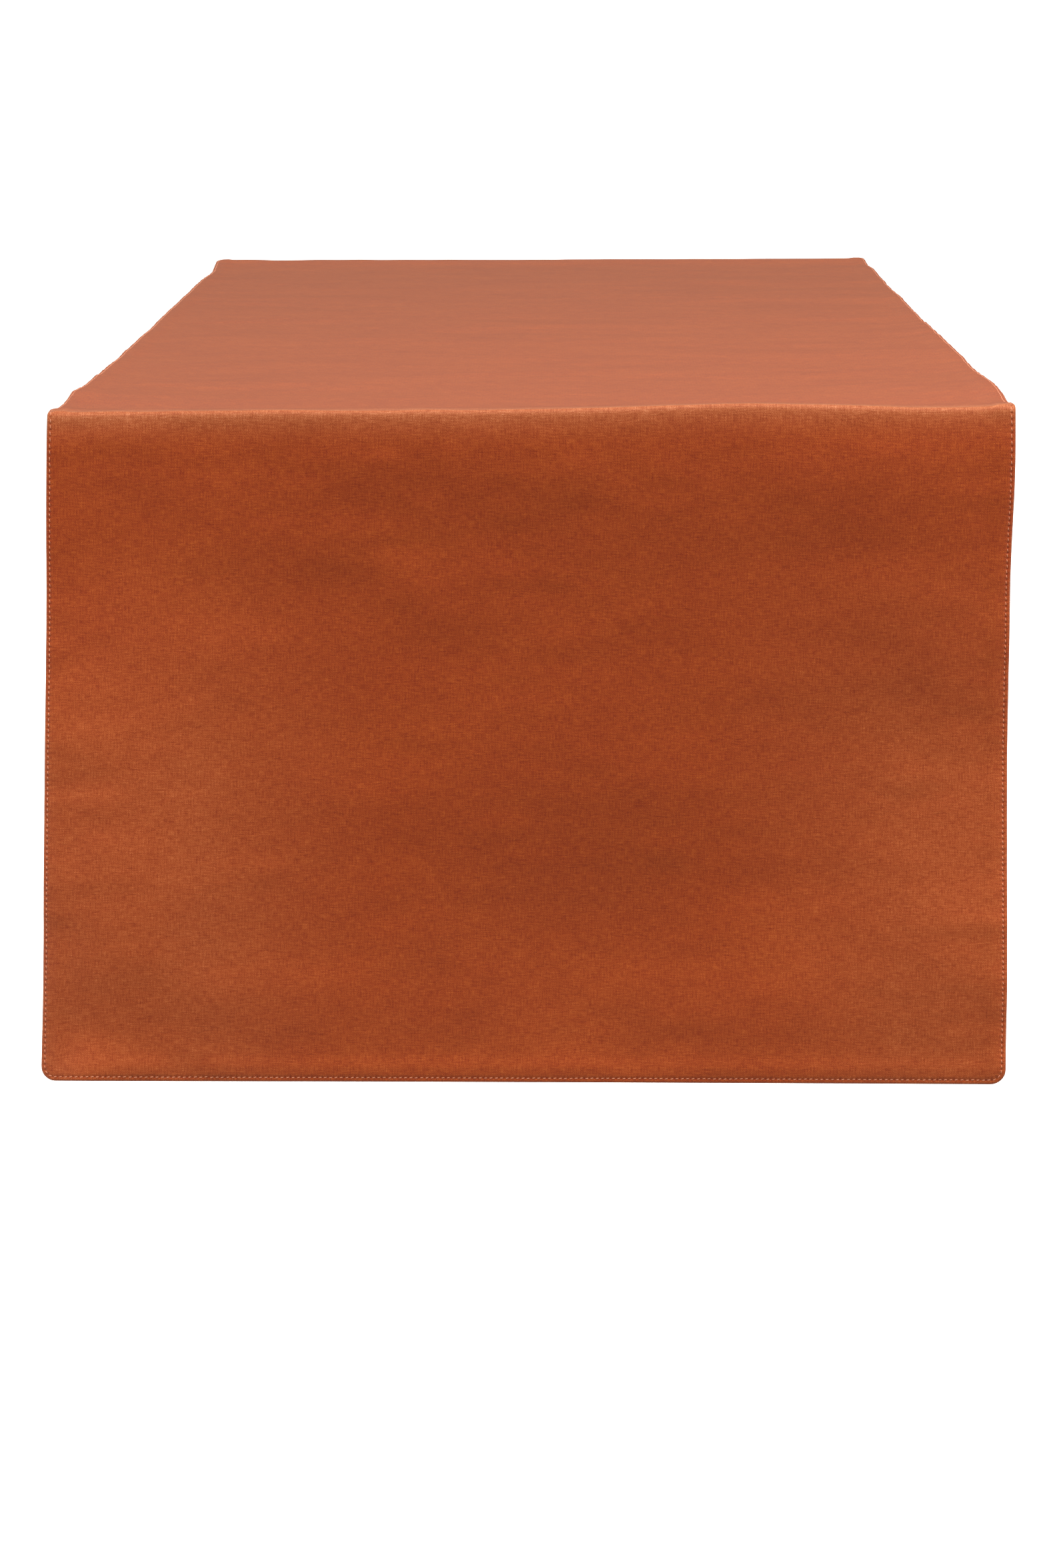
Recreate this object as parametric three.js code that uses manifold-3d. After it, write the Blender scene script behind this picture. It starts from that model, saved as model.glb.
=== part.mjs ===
// A lined table runner, draped over a tabletop so that both ends hang down.
// Two cloth panels are sewn together right sides in, turned out through the seam and
// stitched once more all round, just inside the edge.
// Millimetres. +X runs across the runner, +Y along it, +Z up. The origin is the middle
// of the underside of the top run, the face that lies on the table.

import * as THREE from "three";
import { mergeVertices } from "three/addons/utils/BufferGeometryUtils.js";
import Module from "manifold-3d";

const wasm = await Module();
wasm.setup();

// The finished runner
const runnerWidth = 450;
const runnerLength = 1800; // along the cloth, from hem to hem
const endDrop = 310; // from the tabletop down to each hem
const cornerRadius = 7;
const bendRadius = 8; // of the underside where it turns down off the table

// Cloth
const clothThickness = 0.45;
const allowanceWidth = 8; // the seam allowance that is turned in behind each panel's edge
const leastCornerRadius = 1; // of an inner corner that lies deeper than the outer rounding
const clearance = 0.3; // between pieces that touch on the real runner

// Thread
const threadThickness = 0.25;
const stitchWidth = 0.5; // the slanted edge stitches cover a band this wide
const edgeStitchInset = 2.2; // from the edge to the middle of the edge stitching
const seamInset = 0.9; // from the edge to the middle of the turning seam

// Care label: a ribbon folded in half, its two ends caught by the edge stitching
const labelWidth = 30;
const labelLength = 35; // folded
const ribbonThickness = 0.2;
const labelInset = 1.2; // from the runner's edge to the ribbon's ends
const labelAboveHem = 60;

// Facets and cutting
const mergeDistance = 1e-4;
const bendFacets = 4; // pairs of facets in each bend
const cornerFacets = 3; // pairs of facets in each rounded corner and in the label's fold
const overshoot = 10; // how far a cutting shape passes what it cuts

// Heights in the pile of layers, counted outward from the underside
const borderThickness = 2 * clothThickness;
const faceUnderside = borderThickness + clearance;
const pileHeight = faceUnderside + borderThickness;
const seamMiddle = pileHeight / 2;
const grooveDepth = threadThickness + clearance;

// The straight top run ends where the bends begin, and the cloth keeps its length
const bendLength = (Math.PI / 2) * (bendRadius + pileHeight / 2);
const topHalf = (runnerLength - 2 * bendLength - 2 * (endDrop - bendRadius)) / 2;
const undersideReach = topHalf + bendRadius; // from the middle to a drop's inner side

const roughness = 0.95;
const colours = {
  faceCloth: 0x9e4828,
  backingCloth: 0x99492b,
  thread: 0xe3a587,
  label: 0xf1ece2,
};

function solidFrom(geometry) {
  geometry.deleteAttribute("normal");
  geometry.deleteAttribute("uv");
  const merged = mergeVertices(geometry, mergeDistance);
  return new wasm.Manifold(new wasm.Mesh({
    numProp: 3,
    vertProperties: new Float32Array(merged.attributes.position.array),
    triVerts: new Uint32Array(merged.index.array),
  }));
}

function geometryFrom(solid) {
  const mesh = solid.getMesh();
  const geometry = new THREE.BufferGeometry();
  geometry.setAttribute("position", new THREE.BufferAttribute(mesh.vertProperties, 3));
  geometry.setIndex(new THREE.BufferAttribute(mesh.triVerts, 1));
  geometry.computeVertexNormals();
  return geometry;
}

// A shape drawn in Y and Z, extruded across the runner and centred on it.
function extrudeAcross(shape, width, curveSegments) {
  const geometry = new THREE.ExtrudeGeometry(shape, {
    depth: width, bevelEnabled: false, curveSegments,
  });
  const turn = new THREE.Matrix4().makeBasis(
    new THREE.Vector3(0, 1, 0), new THREE.Vector3(0, 0, 1), new THREE.Vector3(1, 0, 0),
  );
  return solidFrom(geometry.applyMatrix4(turn).translate(-width / 2, 0, 0));
}

// A shape drawn in X and Z, extruded along the runner and centred on it.
function extrudeAlong(shape, length, curveSegments) {
  const geometry = new THREE.ExtrudeGeometry(shape, {
    depth: length, bevelEnabled: false, curveSegments,
  });
  const turn = new THREE.Matrix4().makeBasis(
    new THREE.Vector3(1, 0, 0), new THREE.Vector3(0, 0, 1), new THREE.Vector3(0, -1, 0),
  );
  return solidFrom(geometry.applyMatrix4(turn).translate(0, length / 2, 0));
}

// The draped sheet between two heights in the pile: down, over the table and down again.
// It is wider and longer than the runner, and an outline trims it.
function drapedLayer(low, high) {
  const bottom = -endDrop - overshoot;
  const shape = new THREE.Shape();
  shape.moveTo(-undersideReach - high, bottom);
  shape.lineTo(-undersideReach - high, -bendRadius);
  shape.absarc(-topHalf, -bendRadius, bendRadius + high, Math.PI, Math.PI / 2, true);
  shape.absarc(topHalf, -bendRadius, bendRadius + high, Math.PI / 2, 0, true);
  shape.lineTo(undersideReach + high, bottom);
  shape.lineTo(undersideReach + low, bottom);
  shape.absarc(topHalf, -bendRadius, bendRadius + low, 0, Math.PI / 2, false);
  shape.absarc(-topHalf, -bendRadius, bendRadius + low, Math.PI / 2, Math.PI, false);
  shape.lineTo(-undersideReach - low, bottom);
  shape.closePath();
  return extrudeAcross(shape, runnerWidth + 2 * overshoot, bendFacets);
}

// The runner's outline seen along its length, drawn in from the edge by an inset.
function outline(inset) {
  const side = runnerWidth / 2 - inset;
  const hem = -endDrop + inset;
  const radius = Math.max(cornerRadius - inset, leastCornerRadius);
  const top = pileHeight + overshoot;
  const shape = new THREE.Shape();
  shape.moveTo(side, top);
  shape.lineTo(-side, top);
  shape.absarc(-side + radius, hem + radius, radius, Math.PI, 1.5 * Math.PI, false);
  shape.absarc(side - radius, hem + radius, radius, 1.5 * Math.PI, 2 * Math.PI, false);
  shape.closePath();
  return extrudeAlong(shape, 2 * (undersideReach + pileHeight + overshoot), cornerFacets);
}

// A band that follows the whole edge, through a range of heights in the pile.
function edgeBand(middleInset, width, low, high) {
  const band = outline(middleInset - width / 2).subtract(outline(middleInset + width / 2));
  return drapedLayer(low, high).intersect(band);
}

// The groove that a thread presses into the cloth, clear of the thread on every side.
function threadGroove(middleInset, width, low, high) {
  return edgeBand(middleInset, width + 2 * clearance, low, high);
}

const seamGroove = threadGroove(
  seamInset, threadThickness,
  seamMiddle - threadThickness / 2 - clearance, seamMiddle + threadThickness / 2 + clearance,
);

// One panel: a thin middle and a double border, where its allowance is turned in.
function panel(low, high, pocketLow, pocketHigh, stitchGroove) {
  return drapedLayer(low, high).intersect(outline(0))
    .subtract(drapedLayer(pocketLow, pocketHigh).intersect(outline(allowanceWidth)))
    .subtract(seamGroove)
    .subtract(stitchGroove);
}

function backingCloth() {
  const stitchGroove = threadGroove(edgeStitchInset, stitchWidth, -clearance, grooveDepth);
  return panel(0, borderThickness, clothThickness, faceUnderside, stitchGroove);
}

function faceCloth() {
  const stitchGroove = threadGroove(
    edgeStitchInset, stitchWidth, pileHeight - grooveDepth, pileHeight + clearance,
  );
  return panel(
    faceUnderside, pileHeight, borderThickness, pileHeight - clothThickness, stitchGroove,
  );
}

// The hidden seam that joins the two panels before they are turned right side out.
function turningSeamThread() {
  return edgeBand(
    seamInset, threadThickness, seamMiddle - threadThickness / 2, seamMiddle + threadThickness / 2,
  );
}

function edgeStitchNeedleThread() {
  return edgeBand(edgeStitchInset, stitchWidth, pileHeight - threadThickness, pileHeight);
}

function edgeStitchBobbinThread() {
  return edgeBand(edgeStitchInset, stitchWidth, 0, threadThickness);
}

// The folded ribbon, drawn in X (in from the edge) and Y (away from the backing).
function careLabel() {
  const ends = runnerWidth / 2 - labelInset;
  const fold = ends - labelLength;
  const outerRadius = ribbonThickness + clearance / 2;
  const against = undersideReach - clearance; // the ribbon's side next to the backing
  const middle = against - outerRadius;
  const shape = new THREE.Shape();
  shape.moveTo(ends, against);
  shape.lineTo(fold + outerRadius, against);
  shape.absarc(fold + outerRadius, middle, outerRadius, Math.PI / 2, 1.5 * Math.PI, false);
  shape.lineTo(ends, against - 2 * outerRadius);
  shape.lineTo(ends, against - 2 * outerRadius + ribbonThickness);
  shape.absarc(fold + outerRadius, middle, clearance / 2, 1.5 * Math.PI, Math.PI / 2, true);
  shape.lineTo(ends, against - ribbonThickness);
  shape.closePath();
  return new THREE.ExtrudeGeometry(shape, {
    depth: labelWidth, bevelEnabled: false, curveSegments: cornerFacets,
  });
}

function piece(name, geometry, colour) {
  const material = new THREE.MeshStandardMaterial({ color: colour, roughness, metalness: 0 });
  const mesh = new THREE.Mesh(geometry, material);
  mesh.name = name;
  return mesh;
}

const group = new THREE.Group();
group.add(
  piece("face_cloth", geometryFrom(faceCloth()), colours.faceCloth),
  piece("backing_cloth", geometryFrom(backingCloth()), colours.backingCloth),
  piece("turning_seam_thread", geometryFrom(turningSeamThread()), colours.thread),
  piece("edge_stitch_needle_thread", geometryFrom(edgeStitchNeedleThread()), colours.thread),
  piece("edge_stitch_bobbin_thread", geometryFrom(edgeStitchBobbinThread()), colours.thread),
);

const label = piece("care_label", careLabel(), colours.label);
label.position.z = -endDrop + labelAboveHem;
group.add(label);

export default group;
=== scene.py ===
"""A lined table runner, draped over a tabletop that isn't shown.

Each piece has one operator. Lengths are in metres in the frame's own axes: +X across the
runner, +Y along it, +Z up, with the underside of the top run at Z = 0.
"""

import math

import bpy
import numpy as np
from bpy.props import FloatProperty, FloatVectorProperty, IntProperty, PointerProperty
from mathutils import Matrix, Vector


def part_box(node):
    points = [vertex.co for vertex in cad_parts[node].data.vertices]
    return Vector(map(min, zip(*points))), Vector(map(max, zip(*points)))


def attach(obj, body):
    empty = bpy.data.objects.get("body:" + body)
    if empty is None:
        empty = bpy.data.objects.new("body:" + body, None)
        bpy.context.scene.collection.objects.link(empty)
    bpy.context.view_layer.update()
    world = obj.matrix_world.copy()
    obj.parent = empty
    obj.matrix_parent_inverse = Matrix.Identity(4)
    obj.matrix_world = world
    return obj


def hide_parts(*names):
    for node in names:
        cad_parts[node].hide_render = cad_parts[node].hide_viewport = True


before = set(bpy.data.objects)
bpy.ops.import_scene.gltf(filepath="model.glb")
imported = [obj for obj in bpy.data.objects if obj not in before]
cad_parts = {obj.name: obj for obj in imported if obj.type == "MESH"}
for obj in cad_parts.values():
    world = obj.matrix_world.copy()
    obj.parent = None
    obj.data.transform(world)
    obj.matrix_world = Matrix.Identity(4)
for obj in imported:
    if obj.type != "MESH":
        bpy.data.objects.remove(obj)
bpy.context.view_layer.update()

bl_info = {
    "name": "Lined Table Runner",
    "version": (1, 0, 0),
    "blender": (4, 5, 0),
    "location": "View3D > Sidebar > Runner",
    "description": "Makes a draped, lined table runner with edge stitching and a care label",
    "category": "Object",
}

MM = 0.001
BODY = "root"

# The driving sizes come from the frame's solids.
face_low, face_high = (Vector(corner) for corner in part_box("face_cloth"))
label_low, label_high = (Vector(corner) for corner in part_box("care_label"))
stitch_high = Vector(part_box("edge_stitch_needle_thread")[1])

HALF_WIDTH = face_high.x
REACH = face_high.y - face_high.z  # from the middle to a drop's inner side
DROP = -face_low.z
STITCH_BAND = 0.5 * MM
STITCH_INSET = HALF_WIDTH - stitch_high.x + STITCH_BAND / 2
SEAM_INSET, SEAM_HEIGHT = 0.9 * MM, 0.98 * MM

# The border is a ring of loops round a plain grid, and this wide.
BORDER = 8.0 * MM


# ---------------------------------------------------------------- settings


def length_setting(name, millimetres, description):
    """A length, with its default given in millimetres."""
    return FloatProperty(
        name=name, description=description, default=millimetres * MM, unit="LENGTH"
    )


def angle_setting(name, degrees, description):
    """An angle, with its default given in degrees."""
    return FloatProperty(
        name=name, description=description, default=math.radians(degrees), subtype="ANGLE"
    )


def power_setting(name, watts, description):
    """The power of a lamp."""
    return FloatProperty(name=name, description=description, default=watts, unit="POWER")


def colour_setting(name, default, description):
    """The base colour of a cloth, thread or ribbon."""
    return FloatVectorProperty(
        name=name, description=description, default=default, subtype="COLOR",
        size=3, min=0, max=1,
    )


class ClothSettings(bpy.types.PropertyGroup):
    """The two panels: their thickness, corners and colour."""

    middle_thickness: length_setting(
        "Middle thickness", 1.0, "Both panels together, inside the border"
    )
    corner_radius: length_setting("Corner radius", 7.0, "Rounding of the four corners")
    crinkle: length_setting("Crinkle", 0.30, "Height of the washed-in crinkles")
    face_colour: colour_setting("Face", (0.269, 0.0362, 0.0026), "Colour of the face cloth")
    backing_colour: colour_setting(
        "Backing", (0.256, 0.0370, 0.0034), "Colour of the backing cloth"
    )
    yarn_pitch: length_setting("Yarn pitch", 0.55, "From one yarn of the weave to the next")


class DrapeSettings(bpy.types.PropertyGroup):
    """How the runner lies over the tabletop."""

    askew: angle_setting("Askew", 0.84, "How far the runner is turned on the table")
    bend_softness: length_setting(
        "Bend softness", 0.7, "Arc length in which half of the turn down is made"
    )
    bend_lift: length_setting(
        "Bend lift", 4.6, "How far the cloth rises off the table before it turns"
    )
    edge_roll: angle_setting(
        "Edge roll", 55, "How far the strip outside the stitching curls back"
    )
    out_of_square: length_setting(
        "Out of square", 1.5, "How far each hem runs out of square, across half the width"
    )
    hem_sag: length_setting("Hem sag", 1.4, "How far each hem hangs below its solid")


class StitchSettings(bpy.types.PropertyGroup):
    """The edge stitching and the hidden turning seam."""

    pitch: length_setting("Pitch", 2.5, "From one stitch to the next")
    length: length_setting("Stitch length", 1.9, "From one end of a stitch to the other")
    thickness: length_setting("Thread thickness", 0.36, "Across the edge stitching's thread")
    seam_thickness: length_setting("Seam thread", 0.22, "Across the hidden seam's thread")
    slant: length_setting("Slant", 0.34, "Sideways shift from one end of a stitch to the other")
    colour: colour_setting("Thread", (0.60, 0.24, 0.13), "Colour of the sewing thread")


class LabelSettings(bpy.types.PropertyGroup):
    """The blank care label on the underside."""

    ribbon_thickness: length_setting("Ribbon thickness", 0.18, "Of one layer of the ribbon")
    fold_gap: length_setting("Fold gap", 1.5, "Between the ribbon's two layers at its fold")
    colour: colour_setting("Ribbon", (0.80, 0.77, 0.70), "Colour of the ribbon")


class StageSettings(bpy.types.PropertyGroup):
    """Floor, lights and camera."""

    floor_depth: length_setting("Floor depth", 740, "From the tabletop down to the floor")
    floor_radius: length_setting("Floor radius", 150_000, "Of the round floor")
    lens: FloatProperty(
        name="Lens", description="Focal length on a 36 mm frame", default=116.3, unit="CAMERA"
    )
    shift_down: FloatProperty(
        name="Shift down", description="Downward lens shift, as a share of the frame's height",
        default=0.2, subtype="FACTOR",
    )
    camera_place: FloatVectorProperty(
        name="Camera place", description="Where the camera stands",
        default=(-0.029, -2.93, 0.2185), subtype="XYZ", size=3,
    )
    tilt: angle_setting("Tilt", 5.88, "Camera tilt below level")
    turn: angle_setting("Turn", 0.394, "Camera turn to the right")
    roll: angle_setting("Roll", -0.153, "Camera roll")
    room_light: FloatProperty(
        name="Room light", description="Strength of the even white light", default=0.14
    )
    window_light: FloatProperty(
        name="Window light", description="Strength of the soft light in front", default=5.15
    )
    window_height: angle_setting("Window height", 71, "How high the soft light stands")
    window_spread: angle_setting("Window spread", 50, "How wide the soft light is")
    over_power: power_setting("Over", 19.5, "Of the lamp over the front of the table")
    side_power: power_setting("Side", 1.3, "Of each small lamp beside the front end")
    back_power: power_setting("Back", 7.0, "Of the lamp behind the table")
    bounce_power: power_setting("Bounce", 0.8, "Of the lamp on the floor in front")
    low_power: power_setting("Low", 2.5, "Of the lamp under the table")


class RunnerSettings(bpy.types.PropertyGroup):
    """All the runner's settings."""

    cloth: PointerProperty(type=ClothSettings)
    drape: PointerProperty(type=DrapeSettings)
    stitch: PointerProperty(type=StitchSettings)
    label: PointerProperty(type=LabelSettings)
    stage: PointerProperty(type=StageSettings)
    seed: IntProperty(name="Seed", description="Of every random draw", default=7)


# ---------------------------------------------------------------- shape helpers


def smooth_step(value, low, high):
    """0 below low, 1 above high, and a cubic ease between them."""
    t = np.clip((value - low) / (high - low), 0, 1)
    return t * t * (3 - 2 * t)


def soft_noise(a, b, seed):
    """Random heights from -1 to 1 on a unit grid, blended with a quintic ease."""
    size = 128
    heights = np.random.default_rng(seed).uniform(-1, 1, (size, size))
    i, j = np.floor(a).astype(int), np.floor(b).astype(int)
    s, t = a - i, b - j
    s = s * s * s * (s * (6 * s - 15) + 10)
    t = t * t * t * (t * (6 * t - 15) + 10)
    i0, i1, j0, j1 = i % size, (i + 1) % size, j % size, (j + 1) % size
    low = heights[i0, j0] * (1 - s) + heights[i1, j0] * s
    high = heights[i0, j1] * (1 - s) + heights[i1, j1] * s
    return low * (1 - t) + high * t


def steps_between(marks, sizes):
    """Values from the first mark to the last, evenly spaced by about sizes[i] in stretch i."""
    stretches = [
        np.linspace(low, high, max(2, round((high - low) / size) + 1))[:-1]
        for low, high, size in zip(marks[:-1], marks[1:], sizes)
    ]
    return np.concatenate(stretches + [[marks[-1]]])


def unit(vectors):
    return vectors / np.linalg.norm(vectors, axis=-1, keepdims=True)


def make_object(name, points, faces, maps, material, smooth=True):
    """A mesh object at the origin.

    faces is a list of arrays of point numbers, one row for each face. maps gives each UV map
    one pair for each face corner, in the same order.
    """
    points = points.reshape(-1, 3)
    sizes = np.concatenate([np.full(len(part), part.shape[1]) for part in faces])
    corners = np.concatenate([part.ravel() for part in faces])
    mesh = bpy.data.meshes.new(name)
    mesh.vertices.add(len(points))
    mesh.vertices.foreach_set("co", points.astype(np.float32).ravel())
    mesh.loops.add(len(corners))
    mesh.loops.foreach_set("vertex_index", corners.astype(np.int32))
    mesh.polygons.add(len(sizes))
    starts = np.concatenate([[0], np.cumsum(sizes)[:-1]])
    mesh.polygons.foreach_set("loop_start", starts.astype(np.int32))
    mesh.polygons.foreach_set("use_smooth", np.full(len(sizes), smooth))
    mesh.update(calc_edges=True)
    for map_name, pairs in maps.items():
        layer = mesh.uv_layers.new(name=map_name)
        layer.uv.foreach_set("vector", pairs.astype(np.float32).ravel())
    if mesh.validate():
        raise RuntimeError(f"{name}: the mesh has broken faces")
    mesh.materials.append(material)
    obj = bpy.data.objects.new(name, mesh)
    bpy.context.scene.collection.objects.link(obj)
    return obj


# ---------------------------------------------------------------- the drape

# Broad folds of each hanging end: the middle and half width across, the depths below the bend
# where the cloth starts and stops moving, and how far it moves outwards. In millimetres.
FRONT_FOLDS = (
    (-195, 70, 40, 275, 19),
    (-215, 45, 60, 130, 2.5),
    (210, 75, 125, 285, 16),
    (-218, 15, 286, 312, 2.5),
    (218, 15, 286, 312, 2.5),
    (0, 600, 290, 312, 1.0),
    (130, 90, 0, 32, 1.2),
    (110, 50, 215, 300, 4),
    (25, 70, 165, 232, -5),
    (10, 120, 235, 312, 2.0),
    (120, 60, 20, 75, -3),
    (-90, 40, 8, 45, -1.5),
)
BACK_FOLDS = (
    (-170, 80, 50, 290, 14),
    (40, 90, 70, 280, -6),
    (205, 55, 60, 240, 11),
)

# Where the sides of the top run stand off the table: which side, the distance behind the
# front bend, half the length, and how high. All but the side in millimetres.
SIDE_LIFTS = (
    (-1, 130, 75, 3.4),
    (1, 125, 85, 4.2),
    (1, 400, 200, 2.2),
)
LIFT_REACH = 45 * MM  # in from the side, over which such a lift dies away

# A bend turns this share of its right angle at once, and the rest so many times more slowly.
QUICK_SHARE, SLOWER = 0.78, 14
BEND_REACH, PATH_STEP, SPARE_END = 90 * MM, 0.1 * MM, 20 * MM

# The front bend's rise is less at its left end and most on a bell right of the middle.
LEFT_LOSS, BELL_GAIN, BELL_MIDDLE, BELL_SPREAD = 0.3, 0.5, 102 * MM, 60 * MM
BACK_RISE = 0.55
RISE_BEFORE, RISE_AFTER = 30 * MM, 16 * MM

EDGE_REACH = 26 * MM  # how far in from the sides their flutter and pucker are felt
DRAWN_UP = 0.22  # how far a hem rises, as a share of the shift outwards above it

# The edge's roll: how far past the stitching it starts, its share along the hems, and how
# much it varies across the front end and at random.
ROLL_MARGIN, HEM_ROLL, ROLL_LEAN, ROLL_SPOTS = 0.4 * MM, 0.3, 0.45, 0.3
FRONT_END = -0.5  # the cloth before this place along it is at the front end


def bend_angle(distance, softness):
    """How far the cloth has turned down at a distance past the start of its bend.

    It is a right angle times 1 - 0.78 exp(-d / softness) - 0.22 exp(-d / (14 softness)).
    """
    d = np.clip(distance, 0, None) / softness
    left = QUICK_SHARE * np.exp(-d) + (1 - QUICK_SHARE) * np.exp(-d / SLOWER)
    return math.pi / 2 * (1 - left)


def running_sum(values, step):
    """The integral from the start, by the trapezium rule."""
    return np.concatenate([[0], np.cumsum((values[1:] + values[:-1]) / 2) * step])


def side_view(drape):
    """The underside's path from the middle of the table to past the hem, over its arc length.

    The cloth is level, then turns down by bend_angle. Its place is the integral of the
    cosine and sine of that angle.
    """
    bend = np.arange(0, BEND_REACH, PATH_STEP)
    turned = bend_angle(bend, drape.bend_softness)
    out, down = running_sum(np.cos(turned), PATH_STEP), running_sum(np.sin(turned), PATH_STEP)
    start = REACH - out[-1]
    half_length = start + bend[-1] + DROP + drape.hem_sag - down[-1]
    tail = np.array([half_length + SPARE_END])
    return {
        "distance": np.concatenate([[0], start + bend, tail]),
        "angle": np.concatenate([[0], turned, [turned[-1]]]),
        "y": np.concatenate([[0], start + out, [REACH]]),
        "z": np.concatenate([[0], -down, -(down[-1] + tail - start - bend[-1])]),
        "start": start, "half_length": half_length,
    }


def bell(value, middle, half_width):
    """1 at the middle, and the exponential of minus the square of the half widths off it."""
    return np.exp(-(((value - middle) / half_width) ** 2))


def side_lift(u, depth):
    """Each lift is a bell along the side, and dies away from the side as an exponential."""
    return sum(
        height * MM * bell(-depth / MM, behind, half_length)
        * np.exp(-(HALF_WIDTH - side * u) / LIFT_REACH)
        for side, behind, half_length, height in SIDE_LIFTS
    )


def front_lift(u):
    """The share of the front bend's rise at each place along it."""
    left_end = LEFT_LOSS * np.exp(-(u + HALF_WIDTH) / LIFT_REACH)
    return 1 - left_end + BELL_GAIN * bell(u, BELL_MIDDLE, BELL_SPREAD)


def broad_folds(across, depth, folds):
    """Each fold is a bell across the width times an ease down the depth."""
    return sum(
        amount * MM * bell(across / MM, middle, half_width)
        * smooth_step(depth / MM, top, bottom)
        for middle, half_width, top, bottom, amount in folds
    )


def hills(across, along, size, seed, start=(40, 40)):
    """Random heights from -1 to 1, whose hills are size millimetres across and along."""
    return soft_noise(
        across / (size[0] * MM) + start[0], along / (size[1] * MM) + start[1], seed
    )


def side_noise(u, along, size, start, seed):
    """Random shifts from -1 to 1 along the two sides, each with its own, by size millimetres."""
    return soft_noise(along / (size * MM) + 40, np.sign(u) * 3 + start, seed)


def crinkles(across, along, seed):
    """Hills of three sizes, moved about by a slow sway, and stronger in patches."""
    sway = 0.4 * hills(across, along, (50, 60), seed + 3)
    mixed = hills(across, along, (19, 10.5), seed + 4, (40 + sway, 80 + sway))
    mixed += 0.4 * hills(across, along, (11, 7.2), seed + 5, (80, 80 + sway))
    mixed += 0.9 * hills(across, along, (32, 21), seed + 10, (40, 80 + sway))
    return mixed * (0.6 + 0.4 * hills(across, along, (60, 50), seed + 6))


def outward_shift(across, along, side_inset, view, settings):
    """How far the cloth stands out from the plain drape.

    Broad folds and two sizes of wave move the hanging ends. On the table the cloth rests on
    low hills. Its sides flutter, most on the table. Crinkles and the edge's puckers run all
    over.
    """
    depth, seed = np.abs(along) - view["start"], settings.seed
    hanging = smooth_step(depth, 4 * MM, 60 * MM)
    on_table = 1 - smooth_step(depth, -15 * MM, 5 * MM)
    near_edge = np.exp(-np.clip(side_inset, 0, None) / EDGE_REACH)
    folds = np.where(
        along < 0, broad_folds(across, depth, FRONT_FOLDS), broad_folds(across, depth, BACK_FOLDS)
    )
    waves = 1.2 * hills(across, along, (85, 110), seed)
    waves += 0.7 * hills(across, along, (50, 32), seed + 1)
    rest = 0.5 * on_table * (1 + hills(across, along, (160, 55), seed + 2))
    flutter = 0.5 * near_edge * (1 + side_noise(across, along, 70, 0, seed + 9))
    flutter = flutter * (1 - 0.6 * hanging)
    pucker = 0.30 * MM * near_edge * hills(across, along, (50, 7.5), seed + 7, (40, 90))
    ripple = settings.cloth.crinkle * crinkles(across, along, seed) + pucker
    return folds + MM * (hanging * waves + rest + flutter) + (0.9 + 0.1 * hanging) * ripple


def sideways_shift(u, along, view, seed):
    """How far the cloth strays across the table.

    The top run lies a little to the right of the ends. The upper half of each end is drawn in,
    more on the right, and the sides waver.
    """
    depth = np.abs(along) - view["start"]
    lean = 1.2 * MM * (1 - smooth_step(depth, -90 * MM, -10 * MM))
    pull = np.where(u > 0, 1.3 * MM, 0.3 * MM) * smooth_step(depth, 15 * MM, 80 * MM)
    pull = -pull * (1 - smooth_step(depth, 150 * MM, 300 * MM)) * u / HALF_WIDTH
    waver = 0.5 * MM * side_noise(u, along, 70, 10.5, seed + 8)
    return lean + pull + waver * np.abs(u / HALF_WIDTH)


def drape_points(u, v, height, settings):
    """Carries flat cloth to its draped place.

    u runs across the cloth, v along it, and height is outward from the underside. The cloth
    is turned on the table, bent over its edges, and pushed out along the bend's own normal. A
    low bell-shaped rise stands at each bend, less at the back one, the sides lift near the
    front one, and a hem is drawn up where the cloth above it stands out.
    """
    drape = settings.drape
    view = side_view(drape)
    square = v + drape.out_of_square * (u / HALF_WIDTH) * (v / view["half_length"]) ** 2
    across = u * math.cos(drape.askew) + square * math.sin(drape.askew)
    along = square * math.cos(drape.askew) - u * math.sin(drape.askew)
    distance, side = np.abs(along), np.sign(along)
    angle, y, z = (np.interp(distance, view["distance"], view[key]) for key in ("angle", "y", "z"))
    out = outward_shift(across, along, HALF_WIDTH - np.abs(u), view, settings)
    x = across + sideways_shift(u, along, view, settings.seed)
    depth = distance - view["start"]
    near_bend = bell(depth, 0, np.where(depth < 0, RISE_BEFORE, RISE_AFTER))
    rise = drape.bend_lift * near_bend * np.where(side < 0, front_lift(u), BACK_RISE)
    rise = rise + np.where(side < 0, side_lift(u, depth), 0)
    drawn_up = DRAWN_UP * out * smooth_step(depth, 60 * MM, 300 * MM)
    out = out + height
    y, z = y + np.sin(angle) * out, z + rise + drawn_up + np.cos(angle) * out
    return np.stack([x, side * y, z], axis=-1)


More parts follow.
